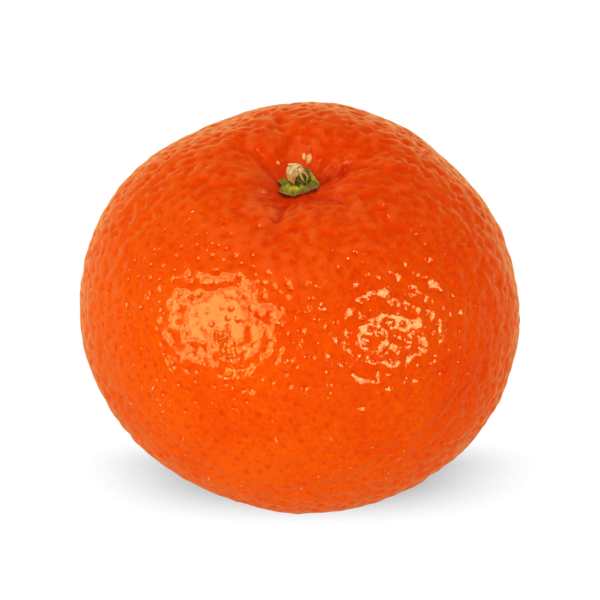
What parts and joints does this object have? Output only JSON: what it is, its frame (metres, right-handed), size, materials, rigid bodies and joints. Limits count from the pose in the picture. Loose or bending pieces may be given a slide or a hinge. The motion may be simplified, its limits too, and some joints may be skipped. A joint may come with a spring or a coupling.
{
  "type": "mandarin",
  "caption": "Fresh mandarin, flattened at both ends, with pitted peel, furrows round a green calyx and a torn stem stub.",
  "frame": {"origin": "centre of the outline seen from above, at the level that the fruit rests on", "axes": "+Z along the fruit's axis, from the blossom end to the stem, +X to the right and +Y away as pictured"},
  "size_m": [0.0637, 0.0638, 0.0524],
  "materials": {
    "peel": "waxy citrus peel, satin to glossy, deep orange",
    "calyx_green": "matte yellow-green sepals, tan along torn edges",
    "stem_green": "matte dark green stem",
    "dry_fibre": "matte dry stem fibre"
  },
  "bodies": {
    "root": {"fruit": "peel", "calyx": "calyx_green", "stem_core": "stem_green", "stem_fibres": "dry_fibre"}
  },
  "joints": []
}
